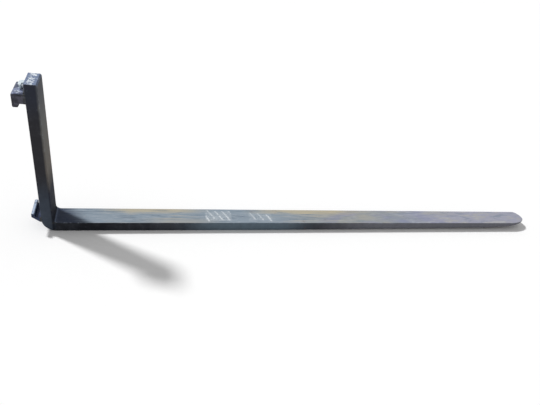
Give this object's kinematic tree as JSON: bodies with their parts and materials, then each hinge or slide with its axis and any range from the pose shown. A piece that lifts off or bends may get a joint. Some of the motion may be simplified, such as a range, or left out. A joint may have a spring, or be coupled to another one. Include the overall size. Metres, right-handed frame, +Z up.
{
  "type": "forklift fork",
  "caption": "Long hook-on fork arm for a lift truck: forged L with a tapered blade, two welded carriage hooks and a sprung positioning lock with a flip lever.",
  "frame": {"origin": "underside plane of the blade, directly below the front face of the shank, at mid-width", "axes": "+X along the blade to the tip, +Y across the blade, +Z up the shank"},
  "size_m": [2.5269, 0.1032, 0.66],
  "materials": {
    "forged_steel": "worn dark paint with dust and rust",
    "hook_steel": "worn dark paint, bright at the edges",
    "weld_metal": "painted weld beads",
    "dark_steel": "oiled steel",
    "bright_steel": "ground steel",
    "spring_steel": "oiled spring steel",
    "plated_steel": "zinc plated"
  },
  "bodies": {
    "arm": {"fork_blank": "forged_steel", "upper_hook": "hook_steel", "lower_hook": "hook_steel", "upper_hook_weld": "weld_metal", "lower_hook_weld": "weld_metal", "lock_bush": "dark_steel"},
    "pin": {"lock_pin": "bright_steel", "cross_pin": "spring_steel", "lock_spring": "spring_steel"},
    "lever": {"lock_lever": "plated_steel"}
  },
  "joints": [
    {"name": "pin_lift", "type": "slide", "parent": "arm", "child": "pin", "axis": [0, 0, 1], "range_m": [0, 0.01], "stiffness_N_per_m": 1500, "springref_m": -0.008, "deforming": ["lock_spring"]},
    {"name": "lever_flip", "type": "hinge", "parent": "pin", "child": "lever", "pos_m": [-0.056, 0, 0.6313], "axis": [1, 0, 0], "range_deg": [0, 90]}
  ],
  "couplings": [
    {"joint": "pin_lift", "follows": "lever_flip", "m_per_rad": 0.0063662}
  ]
}
